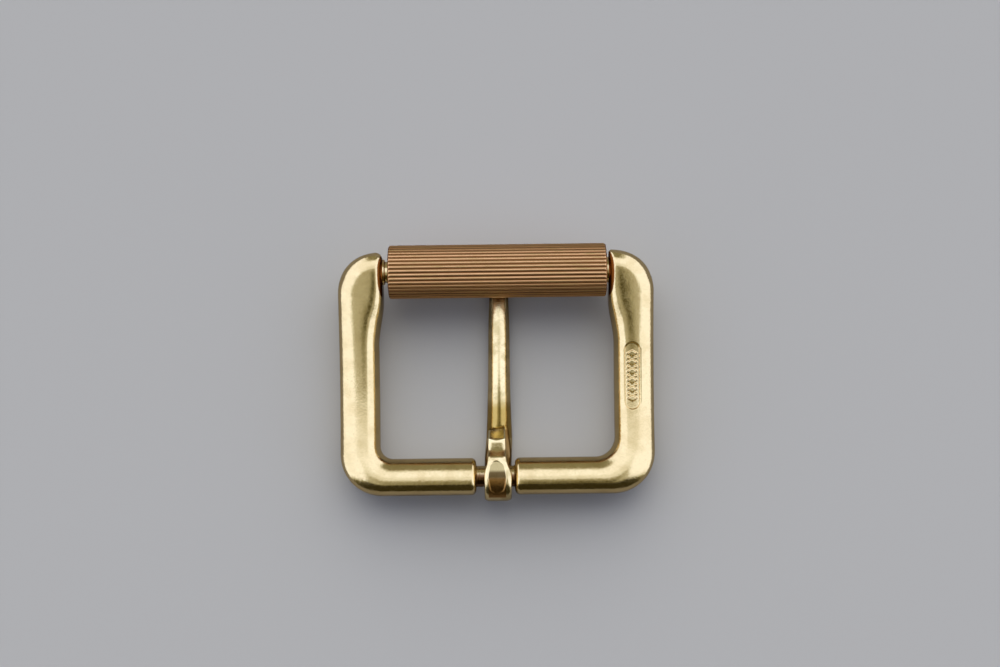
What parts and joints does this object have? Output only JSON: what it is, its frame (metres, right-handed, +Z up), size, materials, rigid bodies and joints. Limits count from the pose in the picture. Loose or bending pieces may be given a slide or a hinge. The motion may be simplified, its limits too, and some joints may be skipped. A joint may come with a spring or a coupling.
{
  "type": "roller buckle",
  "caption": "Cast brass heel-bar roller buckle for a flat strap: bowed frame, fluted copper roller turning on its end bar, and a single hinged tongue.",
  "frame": {"origin": "on the table under the middle of the buckle's outline", "axes": "+X across the strap, +Y from the heel bar towards the roller, +Z up out of the buckle's back, which faces up"},
  "size_m": [0.0536, 0.0436, 0.0105],
  "materials": {
    "cast_brass": "polished cast brass with light tarnish",
    "roller_copper": "worn coppery bronze with bright ridges",
    "tongue_brass": "polished brass with a pinkish fold"
  },
  "bodies": {
    "frame": {"frame": "cast_brass"},
    "roller": {"roller": "roller_copper"},
    "tongue": {"tongue": "tongue_brass"}
  },
  "joints": [
    {"name": "roller_spin", "type": "hinge", "parent": "frame", "child": "roller", "pos_m": [0, 0.01729, 0.00599], "axis": [1, 0, 0], "continuous": true},
    {"name": "tongue_hinge", "type": "hinge", "parent": "frame", "child": "tongue", "pos_m": [0, -0.01761, 0.00426], "axis": [1, 0, 0], "range_deg": [-342, 0]}
  ]
}
